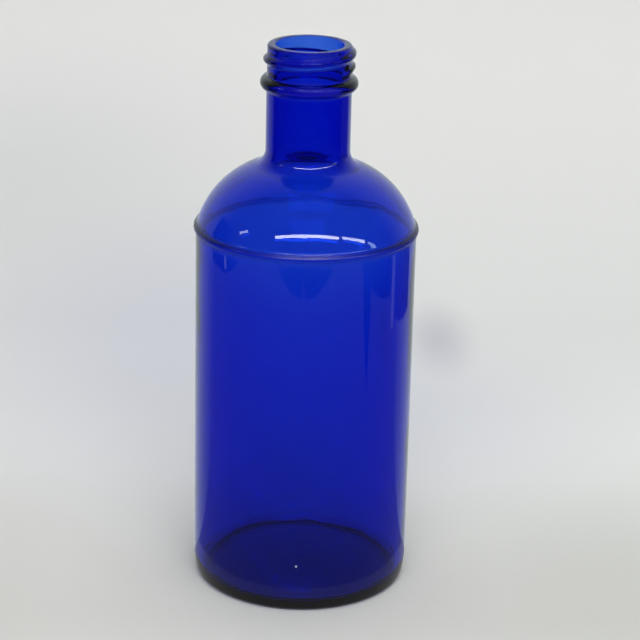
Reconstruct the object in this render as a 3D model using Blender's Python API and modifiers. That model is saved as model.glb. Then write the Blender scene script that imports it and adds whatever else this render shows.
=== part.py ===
"""A narrow-mouth apothecary bottle, moulded in one piece of cobalt glass.

The body is a straight cylinder that ends in a raised shoulder ring. A dome rises from the ring to a
straight neck, and the neck carries a round bead and a screw finish with one continuous thread.
Lengths are in metres and +Z is up. The origin is on the bottle's axis, on the plane it stands on.
An outline is a list of (radius, height) points, which a Screw modifier turns about the axis.
"""

import math

import bmesh
import bpy

# Body
BODY_RADIUS = 0.0330
BODY_WALL = 0.0026
INNER_HEEL_ROUND = 0.0034

# Heel: a long arc that tucks the body in, then a short one
TUCK_ROUND = 0.0300
TUCK_START = 0.0080
HEEL_ROUND = 0.0018

# Base: a flat ring to stand on, round a shallow hollow
BEARING_WIDTH = 0.0026
PUSH_UP = 0.0022
FLOOR_THICKNESS = 0.0024

# Shoulder ring, rounded above and below its crest, and the hollow inside it that fades down the wall
RING_HEIGHT = 0.1120
RING_STAND_OUT = 0.00062
RING_UPPER_ROUND = 0.0014
RING_LOWER_ROUND = 0.0009
HOLLOW_STAND_OUT = 0.0010
HOLLOW_ROUND = 0.0015
HOLLOW_UPPER_FILLET = 0.0015
HOLLOW_LOWER_FILLET = 1.4500

# Dome, an arc that leaves the ring leaning inwards
DOME_BELOW_RING = 0.0001
DOME_ROUND = 0.0273
DOME_LEAN = math.radians(13.8)
DOME_WALL = 0.0017
INNER_DOME_DROP = 0.0005
ROOT_ROUND = 0.00525
ROOT_WALL = 0.00225

# Neck, a little narrower inside than the mouth, and its bead
NECK_NARROWING = 0.0005
NECK_WALL = 0.00305
NECK_LENGTH = 0.0202
BEAD_ROUND = 0.0020
BEAD_STAND_OUT = 0.0019

# Finish, the part that takes a screw cap
BORE_RADIUS = 0.0100
FINISH_WALL = 0.00245
BORE_TAPER_TOP = 0.0065
BORE_TAPER_LENGTH = 0.0100
BEAD_TO_LIP = 0.0115
LIP_OUTER_ROUND = 0.0008
LIP_INNER_ROUND = 0.0006

# Thread, right-handed, with ends that fade into the wall
THREAD_STAND_OUT = 0.00115
THREAD_ROUND = 0.00125
THREAD_PITCH = 0.004233
THREAD_BELOW_LIP = 0.00194
THREAD_START = math.radians(46)
THREAD_SWEEP = math.radians(431)
THREAD_FADE = math.radians(36)
THREAD_END_SINK = 0.0002
THREAD_END_SCALE = 0.6

# Fineness of the mesh
TURN_STEPS = 64
ARC_STEP = math.radians(15)
MOULDING_STEP = math.radians(22.5)
LIP_STEP = math.radians(30)
DOME_STEP = math.radians(7)
INNER_DOME_STEP = math.radians(9.8)
CROWN_STEP = math.radians(3.75)
THREAD_STEP = math.radians(12)
MERGE_DISTANCE = 0.00001

# Sizes that follow from those above
INNER_RADIUS = BODY_RADIUS - BODY_WALL
NECK_BORE = BORE_RADIUS - NECK_NARROWING
NECK_RADIUS = NECK_BORE + NECK_WALL
FINISH_RADIUS = BORE_RADIUS + FINISH_WALL
INNER_DOME_ROUND = DOME_ROUND - DOME_WALL
INNER_ROOT_ROUND = ROOT_ROUND + ROOT_WALL
DOME_CENTRE = (
    BODY_RADIUS - DOME_ROUND * math.cos(DOME_LEAN),
    RING_HEIGHT - DOME_BELOW_RING - DOME_ROUND * math.sin(DOME_LEAN),
)
INNER_DOME_CENTRE = (DOME_CENTRE[0], DOME_CENTRE[1] - INNER_DOME_DROP)
HOLLOW_CENTRE = (INNER_RADIUS + HOLLOW_STAND_OUT - HOLLOW_ROUND, RING_HEIGHT)
TUCK_CENTRE = (BODY_RADIUS - TUCK_ROUND, TUCK_START)
HEEL_CENTRE = (
    TUCK_CENTRE[0] + math.sqrt((TUCK_ROUND - HEEL_ROUND) ** 2 - (TUCK_START - HEEL_ROUND) ** 2),
    HEEL_ROUND,
)


def root_centre(dome_centre, dome_round, neck_radius, root_round):
    """Centre of the hollow fillet that touches both the dome's arc and the upright neck."""
    radius = neck_radius + root_round
    rise = math.sqrt((dome_round + root_round) ** 2 - (radius - dome_centre[0]) ** 2)
    return radius, dome_centre[1] + rise


ROOT_CENTRE = root_centre(DOME_CENTRE, DOME_ROUND, NECK_RADIUS, ROOT_ROUND)
INNER_ROOT_CENTRE = root_centre(INNER_DOME_CENTRE, INNER_DOME_ROUND, NECK_BORE, INNER_ROOT_ROUND)
BEAD_HEIGHT = ROOT_CENTRE[1] + NECK_LENGTH
LIP_HEIGHT = BEAD_HEIGHT + BEAD_TO_LIP


def arc(centre, radius, start, end, step=ARC_STEP):
    """Points along a circular arc, both ends included. Angles are measured from the outward direction."""
    count = max(2, math.ceil(abs(end - start) / step))
    angles = [start + (end - start) * i / count for i in range(count + 1)]
    return [(centre[0] + radius * math.cos(a), centre[1] + radius * math.sin(a)) for a in angles]


def direction(start, end):
    return math.atan2(end[1] - start[1], end[0] - start[0])


def upper_crossing(centre_a, radius_a, centre_b, radius_b):
    """The higher of the two points where two circles cross."""
    gap = math.dist(centre_a, centre_b)
    along = (radius_a**2 - radius_b**2 + gap**2) / (2 * gap)
    across = math.sqrt(radius_a**2 - along**2)
    heading = direction(centre_a, centre_b)
    return (
        centre_a[0] + along * math.cos(heading) - across * math.sin(heading),
        centre_a[1] + along * math.sin(heading) + across * math.cos(heading),
    )


def wall_fillet(centre, radius, wall_radius, fillet):
    """Centre of a fillet between a circle and the upright wall below it."""
    across = wall_radius + fillet - centre[0]
    return wall_radius + fillet, centre[1] - math.sqrt((radius + fillet) ** 2 - across**2)


def crown(edge_radius, edge_height, rise):
    """A shallow cap from its edge in to the axis."""
    radius = (edge_radius**2 + rise**2) / (2 * rise)
    centre = (0.0, edge_height + rise - radius)
    points = arc(centre, radius, direction(centre, (edge_radius, edge_height)), math.pi / 2, CROWN_STEP)
    return points[:-1] + [(0.0, edge_height + rise)]


def inner_outline():
    """The inside, from the middle of the floor up to the bore."""
    floor_edge = INNER_RADIUS - INNER_HEEL_ROUND
    heel = (floor_edge, FLOOR_THICKNESS + INNER_HEEL_ROUND)
    below = wall_fillet(HOLLOW_CENTRE, HOLLOW_ROUND, INNER_RADIUS, HOLLOW_LOWER_FILLET)
    above = upper_crossing(
        INNER_DOME_CENTRE,
        INNER_DOME_ROUND + HOLLOW_UPPER_FILLET,
        HOLLOW_CENTRE,
        HOLLOW_ROUND + HOLLOW_UPPER_FILLET,
    )
    hollow_start = direction(HOLLOW_CENTRE, below)
    hollow_end = direction(HOLLOW_CENTRE, above)
    dome_start = direction(INNER_DOME_CENTRE, above)
    turn = direction(INNER_DOME_CENTRE, INNER_ROOT_CENTRE)
    taper_top = LIP_HEIGHT - BORE_TAPER_TOP
    points = crown(floor_edge, FLOOR_THICKNESS, PUSH_UP)[:0:-1]
    points += arc(heel, INNER_HEEL_ROUND, -math.pi / 2, 0)
    points += arc(below, HOLLOW_LOWER_FILLET, math.pi, hollow_start + math.pi)
    points += arc(HOLLOW_CENTRE, HOLLOW_ROUND, hollow_start, hollow_end)[1:]
    points += arc(above, HOLLOW_UPPER_FILLET, hollow_end + math.pi, dome_start + math.pi)[1:]
    points += arc(INNER_DOME_CENTRE, INNER_DOME_ROUND, dome_start, turn, INNER_DOME_STEP)[1:]
    points += arc(INNER_ROOT_CENTRE, INNER_ROOT_ROUND, turn + math.pi, math.pi)[1:]
    points.append((NECK_BORE, taper_top - BORE_TAPER_LENGTH))
    points.append((BORE_RADIUS, taper_top))
    return points


def lip_outline():
    """Over the lip, from the bore to the outside of the finish."""
    inner = (BORE_RADIUS + LIP_INNER_ROUND, LIP_HEIGHT - LIP_INNER_ROUND)
    outer = (FINISH_RADIUS - LIP_OUTER_ROUND, LIP_HEIGHT - LIP_OUTER_ROUND)
    points = arc(inner, LIP_INNER_ROUND, math.pi, math.pi / 2, LIP_STEP)
    points += arc(outer, LIP_OUTER_ROUND, math.pi / 2, 0, LIP_STEP)
    return points


def outer_outline():
    """The outside, from below the lip down to the middle of the base."""
    bead = (NECK_RADIUS + BEAD_STAND_OUT - BEAD_ROUND, BEAD_HEIGHT)
    crest = BODY_RADIUS + RING_STAND_OUT
    upper_ring = (crest - RING_UPPER_ROUND, RING_HEIGHT)
    lower_ring = (crest - RING_LOWER_ROUND, RING_HEIGHT)
    ring_top = upper_crossing(DOME_CENTRE, DOME_ROUND, upper_ring, RING_UPPER_ROUND)
    turn = direction(DOME_CENTRE, ROOT_CENTRE)
    tuck_end = direction(TUCK_CENTRE, HEEL_CENTRE)
    points = arc(
        bead,
        BEAD_ROUND,
        math.acos((FINISH_RADIUS - bead[0]) / BEAD_ROUND),
        -math.acos((NECK_RADIUS - bead[0]) / BEAD_ROUND),
        MOULDING_STEP,
    )
    points += arc(ROOT_CENTRE, ROOT_ROUND, math.pi, turn + math.pi)
    points += arc(DOME_CENTRE, DOME_ROUND, turn, direction(DOME_CENTRE, ring_top), DOME_STEP)[1:]
    points += arc(
        upper_ring, RING_UPPER_ROUND, direction(upper_ring, ring_top), 0, MOULDING_STEP
    )[1:]
    points += arc(
        lower_ring,
        RING_LOWER_ROUND,
        0,
        -math.acos((BODY_RADIUS - lower_ring[0]) / RING_LOWER_ROUND),
        MOULDING_STEP,
    )[1:]
    points += arc(TUCK_CENTRE, TUCK_ROUND, 0, tuck_end)
    points += arc(HEEL_CENTRE, HEEL_ROUND, tuck_end, -math.pi / 2, MOULDING_STEP)[1:]
    points += crown(HEEL_CENTRE[0] - BEARING_WIDTH, 0.0, PUSH_UP)
    return points


def turned(name, outline, collection):
    """An object whose outline, from axis to axis, is turned into a closed solid."""
    mesh = bpy.data.meshes.new(name)
    shape = bmesh.new()
    points = [shape.verts.new((radius, 0.0, height)) for radius, height in outline]
    for start, end in zip(points, points[1:]):
        shape.edges.new((start, end))
    shape.to_mesh(mesh)
    shape.free()
    piece = bpy.data.objects.new(name, mesh)
    collection.objects.link(piece)
    screw = piece.modifiers.new("turn", "SCREW")
    screw.axis = "Z"
    screw.angle = 2 * math.pi
    screw.steps = TURN_STEPS
    screw.render_steps = TURN_STEPS
    screw.use_merge_vertices = True
    screw.merge_threshold = MERGE_DISTANCE
    screw.use_smooth_shade = True
    return piece


def thread_point(travel):
    """Place and thickness scale of the thread's ridge after it has turned down by this angle."""
    fade = min(1.0, travel / THREAD_FADE, (THREAD_SWEEP - travel) / THREAD_FADE)
    fade = fade * fade * (3 - 2 * fade)
    scale = THREAD_END_SCALE + (1 - THREAD_END_SCALE) * fade
    crest = FINISH_RADIUS - THREAD_END_SINK + (THREAD_STAND_OUT + THREAD_END_SINK) * fade
    radius = crest - THREAD_ROUND * scale
    angle = THREAD_START - travel
    height = LIP_HEIGHT - THREAD_BELOW_LIP - THREAD_PITCH * travel / (2 * math.pi)
    return (radius * math.cos(angle), radius * math.sin(angle), height), scale


def thread_ridge(collection):
    """The thread as a closed round ridge, half sunk in the finish wall, for the bottle to be joined to."""
    data = bpy.data.curves.new("thread_path", "CURVE")
    data.dimensions = "3D"
    data.bevel_depth = THREAD_ROUND
    data.bevel_resolution = 2
    data.use_fill_caps = True
    count = math.ceil(THREAD_SWEEP / THREAD_STEP)
    spline = data.splines.new("POLY")
    spline.points.add(count)
    for i, point in enumerate(spline.points):
        place, scale = thread_point(THREAD_SWEEP * i / count)
        point.co = (*place, 1.0)
        point.radius = scale
    path = bpy.data.objects.new("thread_path", data)
    collection.objects.link(path)
    graph = bpy.context.evaluated_depsgraph_get()
    mesh = bpy.data.meshes.new_from_object(path.evaluated_get(graph))
    ridge = bpy.data.objects.new("thread_ridge", mesh)
    ridge.matrix_world = path.matrix_world
    bpy.data.objects.remove(path, do_unlink=True)
    shape = bmesh.new()
    shape.from_mesh(mesh)
    bmesh.ops.remove_doubles(shape, verts=shape.verts, dist=MERGE_DISTANCE)
    shape.to_mesh(mesh)
    shape.free()
    mesh.shade_smooth()
    ridge.hide_render = True
    ridge.display_type = "WIRE"
    collection.objects.link(ridge)
    return ridge


def cobalt_glass():
    material = bpy.data.materials.new("cobalt_glass")
    material.use_nodes = True
    shader = material.node_tree.nodes["Principled BSDF"]
    shader.inputs["Base Color"].default_value = (0.02, 0.05, 0.55, 1.0)
    shader.inputs["Metallic"].default_value = 0.0
    shader.inputs["Roughness"].default_value = 0.04
    shader.inputs["IOR"].default_value = 1.52
    shader.inputs["Transmission Weight"].default_value = 0.9
    return material


def main():
    for leftover in list(bpy.data.objects):
        bpy.data.objects.remove(leftover, do_unlink=True)
    parts = bpy.data.collections.new("apothecary_bottle")
    helpers = bpy.data.collections.new("helpers")
    for collection in (parts, helpers):
        bpy.context.scene.collection.children.link(collection)

    bottle = turned("bottle", inner_outline() + lip_outline() + outer_outline(), parts)
    bottle.data.materials.append(cobalt_glass())
    join = bottle.modifiers.new("thread", "BOOLEAN")
    join.operation = "UNION"
    join.object = thread_ridge(helpers)


main()
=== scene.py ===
"""Looks of the apothecary bottle: its cobalt glass in full detail, on a pale floor in soft light.

Lengths are in metres and +Z is up. The camera looks along +Y, as the photograph does.
The glass is one closed surface, an outline turned about the axis and then given the relief that
moulding and blowing leave: the thread, the mould seams, a swelling round a stone and the uneven inside.
"""

import math

import bmesh
import bpy
import numpy as np
from mathutils import Matrix, Vector, noise


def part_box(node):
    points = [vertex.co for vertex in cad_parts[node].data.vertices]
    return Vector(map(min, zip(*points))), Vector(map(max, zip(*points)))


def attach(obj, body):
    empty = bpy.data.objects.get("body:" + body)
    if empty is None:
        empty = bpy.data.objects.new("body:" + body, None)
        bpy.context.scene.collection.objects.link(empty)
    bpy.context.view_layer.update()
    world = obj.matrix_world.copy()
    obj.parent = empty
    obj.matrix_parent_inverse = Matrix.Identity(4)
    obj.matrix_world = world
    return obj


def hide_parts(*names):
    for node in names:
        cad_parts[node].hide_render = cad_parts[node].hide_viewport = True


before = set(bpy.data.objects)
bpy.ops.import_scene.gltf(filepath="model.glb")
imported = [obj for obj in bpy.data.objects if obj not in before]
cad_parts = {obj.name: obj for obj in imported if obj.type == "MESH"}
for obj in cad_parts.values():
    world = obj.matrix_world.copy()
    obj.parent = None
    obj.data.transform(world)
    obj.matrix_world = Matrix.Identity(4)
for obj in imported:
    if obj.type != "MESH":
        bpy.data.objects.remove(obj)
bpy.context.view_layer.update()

LIP_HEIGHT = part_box("bottle")[1].z

# Body and base
BODY_RADIUS = 0.0330
BODY_WALL = 0.0026
TUCK_ROUND = 0.0300
TUCK_START = 0.0080
HEEL_ROUND = 0.0018
INNER_HEEL_ROUND = 0.0034
BEARING_WIDTH = 0.0026
PUSH_UP = 0.0022
FLOOR_THICKNESS = 0.0024

# Shoulder ring and dome
RING_HEIGHT = 0.1120
RING_STAND_OUT = 0.00062
RING_UPPER_ROUND = 0.0014
RING_LOWER_ROUND = 0.0009
RING_UPPER_FILLET = 0.0015
RING_LOWER_FILLET = 0.0004
DOME_ROUND = 0.0273
DOME_BELOW_RING = 0.0001
DOME_LEAN = math.radians(13.8)
DOME_WALL = 0.0017
INNER_DOME_DROP = 0.0005
HOLLOW_STAND_OUT = 0.0010
HOLLOW_ROUND = 0.0015
HOLLOW_UPPER_FILLET = 0.0015
HOLLOW_LOWER_FILLET = 1.4500
ROOT_ROUND = 0.00525
ROOT_WALL = 0.00225

# Neck, bead and finish
BORE_RADIUS = 0.0100
NECK_NARROWING = 0.0005
NECK_WALL = 0.00305
BORE_TAPER_TOP = 0.0065
BORE_TAPER_LENGTH = 0.0100
BEAD_TO_LIP = 0.0115
BEAD_ROUND = 0.0020
BEAD_STAND_OUT = 0.0019
BEAD_FILLET = 0.0007
FINISH_WALL = 0.00245
LIP_OUTER_ROUND = 0.0008
LIP_INNER_ROUND = 0.0006

# Thread, right-handed, with ends that fade into the wall
THREAD_STAND_OUT = 0.00115
THREAD_HALF_WIDTH = 0.00105
THREAD_PITCH = 0.004233
THREAD_BELOW_LIP = 0.00194
THREAD_START = math.radians(46)
THREAD_SWEEP = math.radians(431)
THREAD_FADE = math.radians(36)

# Mould seams, front and back, and a stone in a small swelling low on the front
SEAM_HEIGHT = 0.0001
SEAM_HALF_WIDTH = 0.0003
SEAM_FRONT = math.radians(-90.5)
STONE_PLACE = (-0.0009, 0.0154)
STONE_RADIUS = 0.0004
SWELLING_RADIUS = 0.0009
SWELLING_HEIGHT = 0.00012

# Unevenness of the blown inside, which fades out towards the lip
UNEVEN_FADE = 0.0040
RIPPLE_HEIGHT = 0.00008
RIPPLE_LENGTH = 0.007
RIPPLE_STRETCH = 2.0
RIPPLE_SEED = 3.1
SWELL_HEIGHT = 0.00012
SWELL_LENGTH = 0.045
SWELL_STRETCH = 2.5
SWELL_SEED = 7.7

# Glass: the colour that it takes on with depth, and how rough its skin is
GLASS_TINT = (0.0, 0.408, 0.932, 1.0)
TINT_DENSITY = 1300
GLASS_IOR = 1.52
CLEAN_ROUGHNESS = 0.010
SMEARED_ROUGHNESS = 0.035
SMEAR_SCALE = 90
SMEAR_NOISE = (0.45, 0.75)
WORN_ROUGHNESS = 0.25
WORN_HEIGHT = 0.0015
RING_FROST = 0.30
RING_FROST_HEIGHT = 0.1118
RING_FROST_REACH = 0.0026
RING_FROST_CORE = 0.3
SKIN_SCALE = 260
SKIN_DEPTH = 0.00002
SKIN_STRENGTH = 0.12
STONE_COLOUR = (0.36, 0.38, 0.47, 1.0)
STONE_ROUGHNESS = 0.5

# Fineness of the surface
COLUMNS = 256
SEAM_OFFSETS = [math.radians(a) for a in (-1.1, -0.8, -0.55, -0.35, -0.18, 0.18, 0.35, 0.55, 0.8, 1.1)]
ARC_STEP = math.radians(6)
DOME_STEP = math.radians(2)
HOLLOW_STEP = DOME_STEP / 8
CROWN_STEPS = 24
WALL_STEP = 0.0015
FINISH_STEP = 0.00022
SWELLING_STEP = 0.00015
STONE_OFFSETS = [math.radians(a) for a in (-1.4, -1.0, -0.6, -0.3, 0.0, 0.3, 0.6, 1.0, 1.4)]

INNER_RADIUS = BODY_RADIUS - BODY_WALL
NECK_BORE = BORE_RADIUS - NECK_NARROWING
NECK_RADIUS = NECK_BORE + NECK_WALL
FINISH_RADIUS = BORE_RADIUS + FINISH_WALL
INNER_DOME_ROUND = DOME_ROUND - DOME_WALL
INNER_ROOT_ROUND = ROOT_ROUND + ROOT_WALL
BEAD_HEIGHT = LIP_HEIGHT - BEAD_TO_LIP
DOME_CENTRE = (
    BODY_RADIUS - DOME_ROUND * math.cos(DOME_LEAN),
    RING_HEIGHT - DOME_BELOW_RING - DOME_ROUND * math.sin(DOME_LEAN),
)
INNER_DOME_CENTRE = (DOME_CENTRE[0], DOME_CENTRE[1] - INNER_DOME_DROP)
BEAD_CENTRE = (NECK_RADIUS + BEAD_STAND_OUT - BEAD_ROUND, BEAD_HEIGHT)
RING_RADIUS = BODY_RADIUS + RING_STAND_OUT
UPPER_RING_CENTRE = (RING_RADIUS - RING_UPPER_ROUND, RING_HEIGHT)
LOWER_RING_CENTRE = (RING_RADIUS - RING_LOWER_ROUND, RING_HEIGHT)


def root_centre(dome_centre, dome_round, neck_radius, root_round):
    """Centre of the hollow fillet that touches both the dome's arc and the upright neck."""
    radius = neck_radius + root_round
    rise = math.sqrt((dome_round + root_round) ** 2 - (radius - dome_centre[0]) ** 2)
    return radius, dome_centre[1] + rise


ROOT_CENTRE = root_centre(DOME_CENTRE, DOME_ROUND, NECK_RADIUS, ROOT_ROUND)
INNER_ROOT_CENTRE = root_centre(INNER_DOME_CENTRE, INNER_DOME_ROUND, NECK_BORE, INNER_ROOT_ROUND)
HOLLOW_CENTRE = (INNER_RADIUS + HOLLOW_STAND_OUT - HOLLOW_ROUND, RING_HEIGHT)
TUCK_CENTRE = (BODY_RADIUS - TUCK_ROUND, TUCK_START)
HEEL_CENTRE = (
    TUCK_CENTRE[0] + math.sqrt((TUCK_ROUND - HEEL_ROUND) ** 2 - (TUCK_START - HEEL_ROUND) ** 2),
    HEEL_ROUND,
)


def direction(start, end):
    return math.atan2(end[1] - start[1], end[0] - start[0])


def arc(centre, radius, start, end, step=ARC_STEP):
    """Points (radius, height) along a circular arc, both ends included."""
    count = max(3, math.ceil(abs(end - start) / step))
    angles = [start + (end - start) * i / count for i in range(count + 1)]
    return [(centre[0] + radius * math.cos(a), centre[1] + radius * math.sin(a)) for a in angles]


def between(start, end, step):
    """Points between two others on a straight line, neither end included."""
    count = max(1, math.ceil(math.dist(start, end) / step))
    return [
        (
            start[0] + (end[0] - start[0]) * i / count,
            start[1] + (end[1] - start[1]) * i / count,
        )
        for i in range(1, count)
    ]


def upper_crossing(centre_a, radius_a, centre_b, radius_b):
    """The higher of the two points where two circles cross."""
    gap = math.dist(centre_a, centre_b)
    along = (radius_a**2 - radius_b**2 + gap**2) / (2 * gap)
    across = math.sqrt(radius_a**2 - along**2)
    heading = direction(centre_a, centre_b)
    return (
        centre_a[0] + along * math.cos(heading) - across * math.sin(heading),
        centre_a[1] + along * math.sin(heading) + across * math.cos(heading),
    )


def wall_fillet(centre, radius, wall_radius, fillet, side):
    """Centre of a fillet between a moulding's circle and the upright wall, above it or below it."""
    across = wall_radius + fillet - centre[0]
    return wall_radius + fillet, centre[1] + side * math.sqrt((radius + fillet) ** 2 - across**2)


def crown(edge_radius, edge_height, rise):
    """A shallow cap from its edge in to the axis."""
    radius = (edge_radius**2 + rise**2) / (2 * rise)
    centre = (0.0, edge_height + rise - radius)
    start = direction(centre, (edge_radius, edge_height))
    points = arc(centre, radius, start, math.pi / 2, (math.pi / 2 - start) / CROWN_STEPS)
    return points[:-1] + [(0.0, edge_height + rise)]


def inner_outline():
    """The inside, from the middle of the floor up to the lip. It follows the ring in a soft hollow and
    widens from the neck to the mouth."""
    floor_edge = INNER_RADIUS - INNER_HEEL_ROUND
    heel = (floor_edge, FLOOR_THICKNESS + INNER_HEEL_ROUND)
    below = wall_fillet(HOLLOW_CENTRE, HOLLOW_ROUND, INNER_RADIUS, HOLLOW_LOWER_FILLET, -1)
    above = upper_crossing(
        INNER_DOME_CENTRE,
        INNER_DOME_ROUND + HOLLOW_UPPER_FILLET,
        HOLLOW_CENTRE,
        HOLLOW_ROUND + HOLLOW_UPPER_FILLET,
    )
    hollow_start = direction(HOLLOW_CENTRE, below)
    hollow_end = direction(HOLLOW_CENTRE, above)
    dome_start = direction(INNER_DOME_CENTRE, above)
    turn = direction(INNER_DOME_CENTRE, INNER_ROOT_CENTRE)
    taper_end = (BORE_RADIUS, LIP_HEIGHT - BORE_TAPER_TOP)
    taper_start = (NECK_BORE, taper_end[1] - BORE_TAPER_LENGTH)
    points = crown(floor_edge, FLOOR_THICKNESS, PUSH_UP)[::-1]
    points += arc(heel, INNER_HEEL_ROUND, -math.pi / 2, 0)[1:]
    points += between(points[-1], (INNER_RADIUS, below[1]), WALL_STEP)
    points += arc(below, HOLLOW_LOWER_FILLET, math.pi, hollow_start + math.pi, HOLLOW_STEP)
    points += arc(HOLLOW_CENTRE, HOLLOW_ROUND, hollow_start, hollow_end)[1:]
    points += arc(above, HOLLOW_UPPER_FILLET, hollow_end + math.pi, dome_start + math.pi)[1:]
    points += arc(INNER_DOME_CENTRE, INNER_DOME_ROUND, dome_start, turn, DOME_STEP)[1:]
    points += arc(INNER_ROOT_CENTRE, INNER_ROOT_ROUND, turn + math.pi, math.pi, ARC_STEP / 2)[1:]
    points += between(points[-1], taper_start, WALL_STEP) + [taper_start]
    points += between(taper_start, taper_end, WALL_STEP) + [taper_end]
    points += between(taper_end, (BORE_RADIUS, LIP_HEIGHT - LIP_INNER_ROUND), WALL_STEP)
    return points


def lip_outline():
    """Over the lip, from the bore to the outside of the finish."""
    inner = (BORE_RADIUS + LIP_INNER_ROUND, LIP_HEIGHT - LIP_INNER_ROUND)
    outer = (FINISH_RADIUS - LIP_OUTER_ROUND, LIP_HEIGHT - LIP_OUTER_ROUND)
    points = arc(inner, LIP_INNER_ROUND, math.pi, math.pi / 2, ARC_STEP * 3)
    points += arc(outer, LIP_OUTER_ROUND, math.pi / 2, 0, ARC_STEP * 3)
    return points


def bead_outline():
    """The finish wall, the bead with a fillet above and below it, and the neck."""
    above = wall_fillet(BEAD_CENTRE, BEAD_ROUND, FINISH_RADIUS, BEAD_FILLET, 1)
    below = wall_fillet(BEAD_CENTRE, BEAD_ROUND, NECK_RADIUS, BEAD_FILLET, -1)
    top = direction(BEAD_CENTRE, above)
    bottom = direction(BEAD_CENTRE, below)
    start = (FINISH_RADIUS, LIP_HEIGHT - LIP_OUTER_ROUND)
    points = between(start, (FINISH_RADIUS, above[1]), FINISH_STEP)
    points += arc(above, BEAD_FILLET, math.pi, top + math.pi, ARC_STEP * 2)
    points += arc(BEAD_CENTRE, BEAD_ROUND, top, bottom)[1:]
    points += arc(below, BEAD_FILLET, bottom + math.pi, math.pi, ARC_STEP * 2)[1:]
    points += between(points[-1], (NECK_RADIUS, ROOT_CENTRE[1]), WALL_STEP)
    return points


def shoulder_outline():
    """The neck's root, the dome and the ring, with a fillet above and below the ring."""
    turn = direction(DOME_CENTRE, ROOT_CENTRE)
    above = upper_crossing(
        DOME_CENTRE,
        DOME_ROUND + RING_UPPER_FILLET,
        UPPER_RING_CENTRE,
        RING_UPPER_ROUND + RING_UPPER_FILLET,
    )
    below = wall_fillet(LOWER_RING_CENTRE, RING_LOWER_ROUND, BODY_RADIUS, RING_LOWER_FILLET, -1)
    dome_end = direction(DOME_CENTRE, above)
    ring_start = direction(UPPER_RING_CENTRE, above)
    ring_end = direction(LOWER_RING_CENTRE, below)
    points = arc(ROOT_CENTRE, ROOT_ROUND, math.pi, turn + math.pi, ARC_STEP / 2)
    points += arc(DOME_CENTRE, DOME_ROUND, turn, dome_end, DOME_STEP)[1:]
    points += arc(above, RING_UPPER_FILLET, dome_end + math.pi, ring_start + math.pi)[1:]
    points += arc(UPPER_RING_CENTRE, RING_UPPER_ROUND, ring_start, 0)[1:]
    points += arc(LOWER_RING_CENTRE, RING_LOWER_ROUND, 0, ring_end)[1:]
    points += arc(below, RING_LOWER_FILLET, ring_end + math.pi, math.pi, ARC_STEP * 2)[1:]
    return points


def body_outline(top):
    """The body from the ring down, the heel, the ring it stands on and the hollow of the base."""
    tuck_end = direction(TUCK_CENTRE, HEEL_CENTRE)
    above = (BODY_RADIUS, STONE_PLACE[1] + SWELLING_RADIUS)
    below = (BODY_RADIUS, STONE_PLACE[1] - SWELLING_RADIUS)
    points = between(top, above, WALL_STEP) + [above]
    points += between(above, below, SWELLING_STEP) + [below]
    points += between(below, (BODY_RADIUS, TUCK_START), WALL_STEP)
    points += arc(TUCK_CENTRE, TUCK_ROUND, 0, tuck_end, DOME_STEP)
    points += arc(HEEL_CENTRE, HEEL_ROUND, tuck_end, -math.pi / 2)[1:]
    edge = HEEL_CENTRE[0] - BEARING_WIDTH
    points += between(points[-1], (edge, 0.0), WALL_STEP)
    points += crown(edge, 0.0, PUSH_UP)
    return points


def thread_relief(angles, heights):
    """How far the thread stands out of the finish wall."""
    relief = np.zeros((len(heights), len(angles)))
    for turn in (0, 1):
        travel = (THREAD_START - angles) % (2 * math.pi) + 2 * math.pi * turn
        fade = np.clip(np.minimum(travel, THREAD_SWEEP - travel) / THREAD_FADE, 0, 1)
        fade = fade * fade * (3 - 2 * fade)
        middle = LIP_HEIGHT - THREAD_BELOW_LIP - THREAD_PITCH * travel / (2 * math.pi)
        away = np.abs(heights[:, None] - middle[None, :]) / THREAD_HALF_WIDTH
        relief = np.maximum(relief, THREAD_STAND_OUT * fade * 0.5 ** (away**3))
    return relief


def seam_relief(angles, radii):
    """A fine ridge down the front and the back, where the mould's halves met."""
    relief = np.zeros((len(radii), len(angles)))
    for seam in (SEAM_FRONT, SEAM_FRONT + math.pi):
        turn = (angles - seam + math.pi) % (2 * math.pi) - math.pi
        across = radii[:, None] * turn[None, :] / SEAM_HALF_WIDTH
        relief += SEAM_HEIGHT * 0.5 ** (across**2)
    return relief


def swelling_relief(angles, heights):
    """The glass pushed out round the stone."""
    across = BODY_RADIUS * np.cos(angles)[None, :] - STONE_PLACE[0]
    up = heights[:, None] - STONE_PLACE[1]
    away = np.hypot(across, up) / SWELLING_RADIUS
    front = np.sin(angles)[None, :] < 0
    return SWELLING_HEIGHT * np.clip(1 - away**2, 0, 1) ** 2 * front


def unevenness(points, length, stretch, seed):
    """Smooth noise between about -1 and 1 at each point, drawn out along the height."""
    shift = Vector((seed, 2 * seed, 3 * seed))
    scale = Vector((1 / length, 1 / length, 1 / (length * stretch)))
    return np.array([noise.noise(Vector(p) * scale + shift) for p in points])


def blown_relief(angles, radii, heights):
    """The fine ripple and the slow swell of the inside, calm at the lip."""
    across = radii[:, None] * np.cos(angles)
    along = radii[:, None] * np.sin(angles)
    up = np.repeat(heights[:, None], len(angles), axis=1)
    points = np.stack([across, along, up], axis=-1).reshape(-1, 3)
    relief = RIPPLE_HEIGHT * unevenness(points, RIPPLE_LENGTH, RIPPLE_STRETCH, RIPPLE_SEED)
    relief += SWELL_HEIGHT * unevenness(points, SWELL_LENGTH, SWELL_STRETCH, SWELL_SEED)
    calm = np.clip((LIP_HEIGHT - heights) / UNEVEN_FADE, 0, 1)[:, None]
    return relief.reshape(-1, len(angles)) * calm


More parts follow.
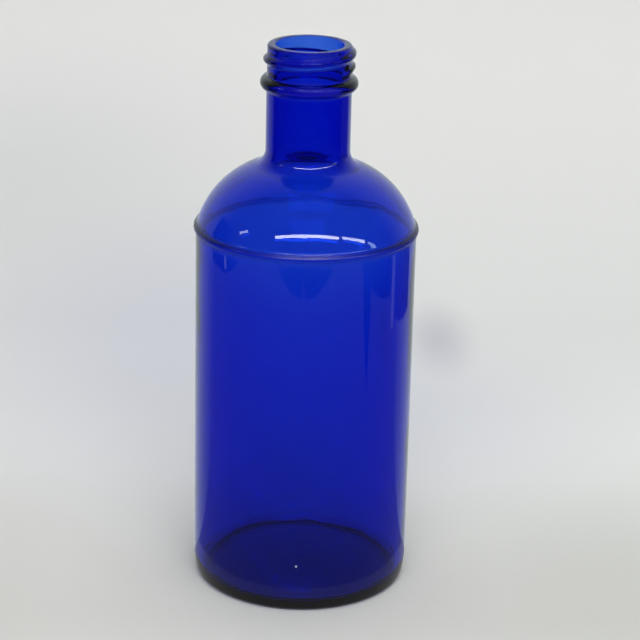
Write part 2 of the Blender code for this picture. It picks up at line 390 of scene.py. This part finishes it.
def column_angles():
    """Even columns round the axis, and more of them at the seams and the stone."""
    even = [2 * math.pi * i / COLUMNS for i in range(COLUMNS)]
    extra = [seam + a for seam in (SEAM_FRONT, SEAM_FRONT + math.pi) for a in SEAM_OFFSETS]
    extra += [STONE_PLACE[0] / BODY_RADIUS - math.pi / 2 + a for a in STONE_OFFSETS]
    return np.array(sorted(a % (2 * math.pi) for a in even + extra))


def bottle_surface():
    """The vertices of the glass, row by row from the middle of the floor to the middle of the base."""
    inside = inner_outline()
    outside = lip_outline() + bead_outline() + shoulder_outline()
    outside += body_outline(outside[-1])
    outline = np.array(inside + outside)
    along = np.gradient(outline, axis=0)
    along /= np.linalg.norm(along, axis=1)[:, None]
    outward = np.stack([-along[:, 1], along[:, 0]], axis=1)

    angles = column_angles()
    radii, heights = outline[:, 0], outline[:, 1]
    is_inside = np.arange(len(outline)) < len(inside)
    relief = np.zeros((len(outline), len(angles)))
    relief[is_inside] = blown_relief(angles, radii[is_inside], heights[is_inside])
    finish = ~is_inside & (heights > BEAD_HEIGHT) & (heights < LIP_HEIGHT - LIP_OUTER_ROUND / 2)
    relief[finish] = thread_relief(angles, heights[finish])
    moulded = ~is_inside & (heights < BEAD_HEIGHT) & (heights > HEEL_ROUND)
    relief[moulded] = seam_relief(angles, radii[moulded])
    body = ~is_inside & (heights > TUCK_START) & (heights < RING_HEIGHT / 2)
    relief[body] += swelling_relief(angles, heights[body])

    radial = radii[:, None] + relief * outward[:, :1]
    vertical = heights[:, None] + relief * outward[:, 1:]
    return np.stack([radial * np.cos(angles), radial * np.sin(angles), vertical], axis=-1)


def closed_mesh(name, grid):
    """A closed mesh from rows of points round the axis, its first and last rows drawn in to one point."""
    rows, columns = grid.shape[:2]
    ends = [grid[0].mean(axis=0), grid[-1].mean(axis=0)]
    vertices = [tuple(ends[0])] + [tuple(p) for p in grid[1:-1].reshape(-1, 3)] + [tuple(ends[1])]
    last = len(vertices) - 1
    faces = []
    for j in range(columns):
        k = (j + 1) % columns
        faces.append((0, 1 + j, 1 + k))
        for i in range(rows - 3):
            low = 1 + i * columns
            high = low + columns
            faces.append((low + j, high + j, high + k, low + k))
        edge = 1 + (rows - 3) * columns
        faces.append((edge + j, last, edge + k))
    mesh = bpy.data.meshes.new(name)
    mesh.from_pydata(vertices, [], faces)
    mesh.validate()
    mesh.shade_smooth()
    return mesh


def ramp(nodes, links, source, start, end, low, high, smooth=False):
    """A value that runs from low to high as its source runs from start to end."""
    node = nodes.new("ShaderNodeMapRange")
    node.interpolation_type = "SMOOTHSTEP" if smooth else "LINEAR"
    node.inputs["From Min"].default_value = start
    node.inputs["From Max"].default_value = end
    node.inputs["To Min"].default_value = low
    node.inputs["To Max"].default_value = high
    links.new(source, node.inputs["Value"])
    return node.outputs["Result"]


def add(nodes, links, first, second):
    node = nodes.new("ShaderNodeMath")
    node.operation = "ADD"
    links.new(first, node.inputs[0])
    links.new(second, node.inputs[1])
    return node.outputs["Value"]


def distance_from(nodes, links, source, value):
    """How far a value is from a fixed one, either way."""
    off = nodes.new("ShaderNodeMath")
    off.operation = "SUBTRACT"
    off.inputs[1].default_value = value
    links.new(source, off.inputs[0])
    size = nodes.new("ShaderNodeMath")
    size.operation = "ABSOLUTE"
    links.new(off.outputs["Value"], size.inputs[0])
    return size.outputs["Value"]


def mottle(nodes, links, place, scale, detail):
    """Soft noise over the surface."""
    node = nodes.new("ShaderNodeTexNoise")
    node.inputs["Scale"].default_value = scale
    node.inputs["Detail"].default_value = detail
    links.new(place, node.inputs["Vector"])
    return node.outputs["Fac"]


def cobalt_glass():
    """Clear glass whose colour is in its depth. Its skin has faint smears, is softer along the shoulder
    ring and is scuffed under the base."""
    material = bpy.data.materials.new("cobalt_glass")
    material.use_nodes = True
    nodes, links = material.node_tree.nodes, material.node_tree.links
    shader = nodes["Principled BSDF"]
    shader.inputs["Base Color"].default_value = (1.0, 1.0, 1.0, 1.0)
    shader.inputs["IOR"].default_value = GLASS_IOR
    shader.inputs["Transmission Weight"].default_value = 1.0

    place = nodes.new("ShaderNodeTexCoord").outputs["Object"]
    split = nodes.new("ShaderNodeSeparateXYZ")
    links.new(place, split.inputs["Vector"])
    height = split.outputs["Z"]
    smears = mottle(nodes, links, place, SMEAR_SCALE, detail=4)
    gloss = ramp(nodes, links, smears, *SMEAR_NOISE, CLEAN_ROUGHNESS, SMEARED_ROUGHNESS)
    wear = ramp(nodes, links, height, WORN_HEIGHT, 0.0, 0.0, WORN_ROUGHNESS)
    away = distance_from(nodes, links, height, RING_FROST_HEIGHT)
    core = RING_FROST_REACH * RING_FROST_CORE
    frost = ramp(nodes, links, away, RING_FROST_REACH, core, 0.0, RING_FROST, smooth=True)
    roughness = add(nodes, links, add(nodes, links, gloss, frost), wear)
    links.new(roughness, shader.inputs["Roughness"])

    bump = nodes.new("ShaderNodeBump")
    bump.inputs["Strength"].default_value = SKIN_STRENGTH
    bump.inputs["Distance"].default_value = SKIN_DEPTH
    links.new(mottle(nodes, links, place, SKIN_SCALE, detail=2), bump.inputs["Height"])
    links.new(bump.outputs["Normal"], shader.inputs["Normal"])

    depth = nodes.new("ShaderNodeVolumeAbsorption")
    depth.inputs["Color"].default_value = GLASS_TINT
    depth.inputs["Density"].default_value = TINT_DENSITY
    links.new(depth.outputs["Volume"], nodes["Material Output"].inputs["Volume"])
    return material


def pale_stone():
    material = bpy.data.materials.new("pale_stone")
    material.use_nodes = True
    shader = material.node_tree.nodes["Principled BSDF"]
    shader.inputs["Base Color"].default_value = STONE_COLOUR
    shader.inputs["Roughness"].default_value = STONE_ROUGHNESS
    return material


def make_stone():
    """A speck of unmelted stone in the front wall."""
    shape = bmesh.new()
    bmesh.ops.create_icosphere(shape, subdivisions=2, radius=STONE_RADIUS)
    mesh = bpy.data.meshes.new("stone")
    shape.to_mesh(mesh)
    shape.free()
    mesh.shade_smooth()
    mesh.materials.append(pale_stone())
    stone = bpy.data.objects.new("stone", mesh)
    across, height = STONE_PLACE
    stone.location = (across, -BODY_RADIUS, height)
    bpy.context.scene.collection.objects.link(stone)
    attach(stone, "root")


def make_bottle():
    bottle = bpy.data.objects.new("bottle_glass", closed_mesh("bottle_glass", bottle_surface()))
    bpy.context.scene.collection.objects.link(bottle)
    bottle.data.materials.append(cobalt_glass())
    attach(bottle, "root")
    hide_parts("bottle")


# Camera, where the outline of the photographed bottle puts it
CAMERA_PLACE = Vector((0.0, -0.6586, 0.3222))
CAMERA_PITCH = math.radians(20.024)
CAMERA_YAW = math.radians(0.4156)
CAMERA_ROLL = math.radians(1.357)
CAMERA_LENS = 130.0
SENSOR_WIDTH = 36.0


def make_camera():
    data = bpy.data.cameras.new("camera")
    data.lens = CAMERA_LENS
    data.sensor_width = SENSOR_WIDTH
    camera = bpy.data.objects.new("camera", data)
    bpy.context.scene.collection.objects.link(camera)
    turn = Matrix.Rotation(-CAMERA_YAW, 4, "Z")
    turn @= Matrix.Rotation(math.pi / 2 - CAMERA_PITCH, 4, "X")
    turn @= Matrix.Rotation(CAMERA_ROLL, 4, "Z")
    camera.matrix_world = Matrix.Translation(CAMERA_PLACE) @ turn
    bpy.context.scene.camera = camera


# Floor that turns up into a backdrop all round
FLOOR_RINGS = (0.0, 0.2, 0.6)
FLOOR_RADIUS = 1.7
SWEEP_ROUND = 0.7
BACKDROP_HEIGHT = 1.0
# Painted shade: the paper is darker and warmer towards the camera, where less light falls, and fades into
# the back colour between the two fade lines
SHADED_FRONT_COLOUR = (0.70, 0.69, 0.66, 1.0)
BACK_COLOUR = (0.82, 0.815, 0.80, 1.0)
FADE_FRONT = -0.035
FADE_BACK = 0.07
PAPER_ROUGHNESS = 0.9
PAPER_SPECULAR = 0.1
# Painted shade on the paper in soft ovals: a dark blotch behind the bottle on the right, the bottle's
# blue-tinted shadows behind it to the left and right, and dimmer paper to both sides in front. Each:
# centre, reach across and along, and tint at the middle
PAINTED_PAPER_SHADE = [
    ((0.054, 0.207), (0.019, 0.055), (0.79, 0.79, 0.84, 1.0)),
    ((-0.045, 0.21), (0.12, 0.22), (0.88, 0.885, 0.98, 1.0)),
    ((0.04, 0.13), (0.09, 0.12), (0.94, 0.95, 1.0, 1.0)),
    ((0.10, 0.0), (0.13, 0.12), (0.86, 0.86, 0.84, 1.0)),
    ((-0.14, 0.42), (0.18, 0.38), (0.91, 0.91, 0.925, 1.0)),
    ((-0.12, 0.0), (0.13, 0.12), (0.90, 0.895, 0.88, 1.0)),
]
STAGE_COLUMNS = 96


def shade(nodes, links, place, colour, centre, reach, tint):
    """Painted shade: a colour tinted darker or cooler in one soft oval patch of the floor."""
    oval = nodes.new("ShaderNodeMapping")
    oval.vector_type = "TEXTURE"
    oval.inputs["Location"].default_value = (*centre, 0.0)
    oval.inputs["Scale"].default_value = (*reach, 1.0)
    links.new(place, oval.inputs["Vector"])
    patch = nodes.new("ShaderNodeTexGradient")
    patch.gradient_type = "SPHERICAL"
    links.new(oval.outputs["Vector"], patch.inputs["Vector"])
    soft = ramp(nodes, links, patch.outputs["Fac"], 0.0, 1.0, 0.0, 1.0, smooth=True)
    blend = nodes.new("ShaderNodeMix")
    blend.data_type = "RGBA"
    blend.blend_type = "MULTIPLY"
    links.new(soft, blend.inputs["Factor"])
    links.new(colour, blend.inputs["A"])
    blend.inputs["B"].default_value = tint
    return blend.outputs["Result"]


def pale_paper():
    """Matt paper with painted shade: a little darker and warmer near the camera, and soft patches of
    painted shadow.
    """
    material = bpy.data.materials.new("pale_paper")
    material.use_nodes = True
    nodes, links = material.node_tree.nodes, material.node_tree.links
    shader = nodes["Principled BSDF"]
    shader.inputs["Roughness"].default_value = PAPER_ROUGHNESS
    shader.inputs["Specular IOR Level"].default_value = PAPER_SPECULAR
    place = nodes.new("ShaderNodeTexCoord").outputs["Object"]
    split = nodes.new("ShaderNodeSeparateXYZ")
    links.new(place, split.inputs["Vector"])
    # Painted shade: the darker front colour fades into the back colour
    fade = ramp(nodes, links, split.outputs["Y"], FADE_FRONT, FADE_BACK, 0.0, 1.0)
    blend = nodes.new("ShaderNodeMix")
    blend.data_type = "RGBA"
    links.new(fade, blend.inputs["Factor"])
    blend.inputs["A"].default_value = SHADED_FRONT_COLOUR
    blend.inputs["B"].default_value = BACK_COLOUR
    colour = blend.outputs["Result"]
    # Lay the painted shadows and shade over the paper's colour
    for centre, reach, tint in PAINTED_PAPER_SHADE:
        colour = shade(nodes, links, place, colour, centre, reach, tint)
    links.new(colour, shader.inputs["Base Color"])
    return material


def make_floor():
    """A disc with an upturned rim, far enough out for the camera to go round the bottle inside it."""
    centre = (FLOOR_RADIUS, SWEEP_ROUND)
    outline = [(radius, 0.0) for radius in FLOOR_RINGS]
    outline += arc(centre, SWEEP_ROUND, -math.pi / 2, 0)
    outline.append((FLOOR_RADIUS + SWEEP_ROUND, SWEEP_ROUND + BACKDROP_HEIGHT))
    angles = [2 * math.pi * i / STAGE_COLUMNS for i in range(STAGE_COLUMNS)]
    vertices = [(r * math.cos(a), r * math.sin(a), z) for r, z in outline for a in angles]
    faces = []
    for i in range(len(outline) - 1):
        for j in range(STAGE_COLUMNS):
            k = (j + 1) % STAGE_COLUMNS
            low, high = i * STAGE_COLUMNS, (i + 1) * STAGE_COLUMNS
            faces.append((low + j, high + j, high + k, low + k))
    mesh = bpy.data.meshes.new("floor")
    mesh.from_pydata(vertices, [], faces)
    mesh.validate()
    mesh.shade_smooth()
    floor = bpy.data.objects.new("floor", mesh)
    bpy.context.scene.collection.objects.link(floor)
    mesh.materials.append(pale_paper())
    floor.visible_glossy = False


# Glowing cards that the glass mirrors: the table near it, the table's bright strip at its foot, a dark
# wedge on the table to the right, and the dark and light things that stand beside the table
CARD_AZIMUTHS = range(-105, 111, 5)
NEAR_TABLE_CORNERS = [
    (-0.33, 0.07, 0.0),
    (-0.33, -0.315, 0.0),
    (0.30, -0.315, 0.0),
    (0.30, 0.085, 0.0),
]
NEAR_TABLE_EDGE = 0.034
NEAR_TABLE_GLOW = 0.17
LIT_TABLE_INNER = 0.0313
LIT_TABLE_OUTER = 0.048
LIT_TABLE_HEIGHT = 0.0001
LIT_TABLE_GLOW = 0.30
DARK_WEDGE = [(65, 0.20), (58, 0.42), (71, 0.42)]
DARK_WEDGE_HEIGHT = 0.001
DARK_WEDGE_GLOW = 0.03
# Name, first and last azimuth, distance, height and glow
UPRIGHT_CARDS = [
    ("dark_right", 103, 132, 0.27, 0.10, 0.07),
    ("dark_left", -108, -84, 0.34, 0.24, 0.02),
    ("streak_left", -90, -86, 0.335, 0.03, 0.6),
    ("streak_right", 97, 101, 0.26, 0.05, 0.42),
]


def reflected_card(name, corners, radiance):
    """A flat sheet of even glow that shows only in reflections."""
    mesh = bpy.data.meshes.new(name)
    mesh.from_pydata(corners, [], [tuple(range(len(corners)))])
    material = bpy.data.materials.new(name)
    material.use_nodes = True
    nodes, links = material.node_tree.nodes, material.node_tree.links
    nodes.remove(nodes["Principled BSDF"])
    glow = nodes.new("ShaderNodeEmission")
    glow.inputs["Strength"].default_value = radiance
    links.new(glow.outputs["Emission"], nodes["Material Output"].inputs["Surface"])
    mesh.materials.append(material)
    card = bpy.data.objects.new(name, mesh)
    bpy.context.scene.collection.objects.link(card)
    card.visible_camera = False
    card.visible_diffuse = False
    card.visible_transmission = False
    card.visible_shadow = False


def on_table(azimuth, distance, height=0.0):
    """A point at a distance from the bottle's axis. Azimuth 0 is the camera's side and 90 its right."""
    a = math.radians(azimuth)
    return distance * math.sin(a), -distance * math.cos(a), height


def upright_card(name, start, end, distance, top, radiance):
    """A sheet that stands on the table between two azimuths."""
    corners = [
        on_table(start, distance),
        on_table(end, distance),
        on_table(end, distance, top),
        on_table(start, distance, top),
    ]
    reflected_card(name, corners, radiance)


def make_cards():
    """What the glass shows of the table and of the things beside it."""
    bottle_edge = [on_table(azimuth, NEAR_TABLE_EDGE) for azimuth in CARD_AZIMUTHS]
    reflected_card("near_table", NEAR_TABLE_CORNERS + bottle_edge[::-1], NEAR_TABLE_GLOW)
    inner = [on_table(azimuth, LIT_TABLE_INNER, LIT_TABLE_HEIGHT) for azimuth in CARD_AZIMUTHS]
    outer = [on_table(azimuth, LIT_TABLE_OUTER, LIT_TABLE_HEIGHT) for azimuth in CARD_AZIMUTHS]
    reflected_card("lit_table", outer + inner[::-1], LIT_TABLE_GLOW)
    wedge = [on_table(azimuth, distance, DARK_WEDGE_HEIGHT) for azimuth, distance in DARK_WEDGE]
    reflected_card("dark_wedge", wedge, DARK_WEDGE_GLOW)
    for card in UPRIGHT_CARDS:
        upright_card(*card)


# Lamps. The strips make the shoulder's highlights: name, the directions at both ends as azimuth and
# elevation, thickness in degrees, radiance and colour
DAYLIGHT = (0.93, 0.98, 1.0)
SHADED_DAYLIGHT = (0.65, 0.92, 1.0)
STRIP_DISTANCE = 1.3
STRIP_LIGHTS = [
    ("window", (-36, 33), (38.5, 33), 3.3, 12, DAYLIGHT),
    ("window_right", (42.5, 32.5), (66, 20.5), 3.0, 9, DAYLIGHT),
    ("window_far_right", (69, 18.5), (80, 8), 3.0, 4, SHADED_DAYLIGHT),
    ("lamp_left", (-78, 22), (-70, 28.5), 3.0, 4.5, DAYLIGHT),
]
# The fills light the paper: name, place, target, size and energy. The back one faces away from the
# bottle, because light that comes in from behind would show as a bright patch in the base.
FILL_LAMPS = [
    ("front_fill", (0.12, -1.41, 1.8), (0.0, 0.0, 0.0), 1.2, 13),
    ("top_fill", (0.1, 0.1, 2.0), (0.1, 0.1, 0.0), 1.2, 13.5),
    ("back_fill", (0.1, 0.45, 1.3), (0.1, 1.45, 1.13), 1.0, 10.5),
]


def toward(azimuth, elevation, distance):
    """A point seen from the bottle's shoulder. Azimuth 0 is the camera's side and 90 is its right."""
    a, e = math.radians(azimuth), math.radians(elevation)
    flat = distance * math.cos(e)
    return Vector((flat * math.sin(a), -flat * math.cos(a), distance * math.sin(e) + RING_HEIGHT))


def strip_light(name, start, end, thickness, radiance, colour):
    """A long lamp between two directions, facing the bottle. Its energy is its radiance times four times
    its area."""
    a, b = toward(*start, STRIP_DISTANCE), toward(*end, STRIP_DISTANCE)
    middle, along = (a + b) / 2, (b - a)
    x = along.normalized()
    z = (middle - Vector((0, 0, RING_HEIGHT))).normalized()
    z = (z - x * z.dot(x)).normalized()
    y = z.cross(x)
    data = bpy.data.lights.new(name, "AREA")
    data.shape = "RECTANGLE"
    data.size = along.length
    data.size_y = math.radians(thickness) * STRIP_DISTANCE
    data.energy = radiance * 4 * data.size * data.size_y
    data.color = colour
    lamp = bpy.data.objects.new(name, data)
    bpy.context.scene.collection.objects.link(lamp)
    turn = Matrix((x, y, z)).transposed().to_4x4()
    lamp.matrix_world = Matrix.Translation(middle) @ turn


def fill_lamp(name, place, target, size, energy):
    """A square lamp that lights the paper but is not mirrored in the glass."""
    data = bpy.data.lights.new(name, "AREA")
    data.shape = "SQUARE"
    data.size = size
    data.energy = energy
    lamp = bpy.data.objects.new(name, data)
    lamp.location = place
    lamp.rotation_euler = (Vector(target) - Vector(place)).to_track_quat("-Z", "Y").to_euler()
    lamp.visible_glossy = False
    bpy.context.scene.collection.objects.link(lamp)


def make_lights():
    for strip in STRIP_LIGHTS:
        strip_light(*strip)
    for fill in FILL_LAMPS:
        fill_lamp(*fill)


# Surroundings: the room's colour, its glow below and above the table's edge, the backdrop's glow, and
# where along a direction both edges lie
ROOM_COLOUR = (0.92, 1.0, 1.04, 1.0)
ROOM_GLOW_BELOW = 0.03
ROOM_GLOW_ABOVE = 0.085
TABLE_EDGE = (-0.1, 0.1)
BACKDROP_GLOW = 0.62
BACKDROP_EDGE = (0.15, 0.9)


def make_world():
    """A dim room in front of the bottle, darker below the table's edge, and a pale backdrop behind it."""
    world = bpy.data.worlds.new("room")
    bpy.context.scene.world = world
    world.use_nodes = True
    nodes, links = world.node_tree.nodes, world.node_tree.links
    nodes["Background"].inputs["Color"].default_value = ROOM_COLOUR
    way = nodes.new("ShaderNodeTexCoord")
    split = nodes.new("ShaderNodeSeparateXYZ")
    links.new(way.outputs["Generated"], split.inputs["Vector"])
    backdrop = ramp(nodes, links, split.outputs["Y"], *BACKDROP_EDGE, 0.0, BACKDROP_GLOW)
    room = ramp(nodes, links, split.outputs["Z"], *TABLE_EDGE, ROOM_GLOW_BELOW, ROOM_GLOW_ABOVE)
    links.new(add(nodes, links, backdrop, room), nodes["Background"].inputs["Strength"])


make_camera()
make_bottle()
make_stone()
make_floor()
make_cards()
make_lights()
make_world()
bpy.context.scene.view_settings.view_transform = "Standard"

bpy.context.view_layer.update()
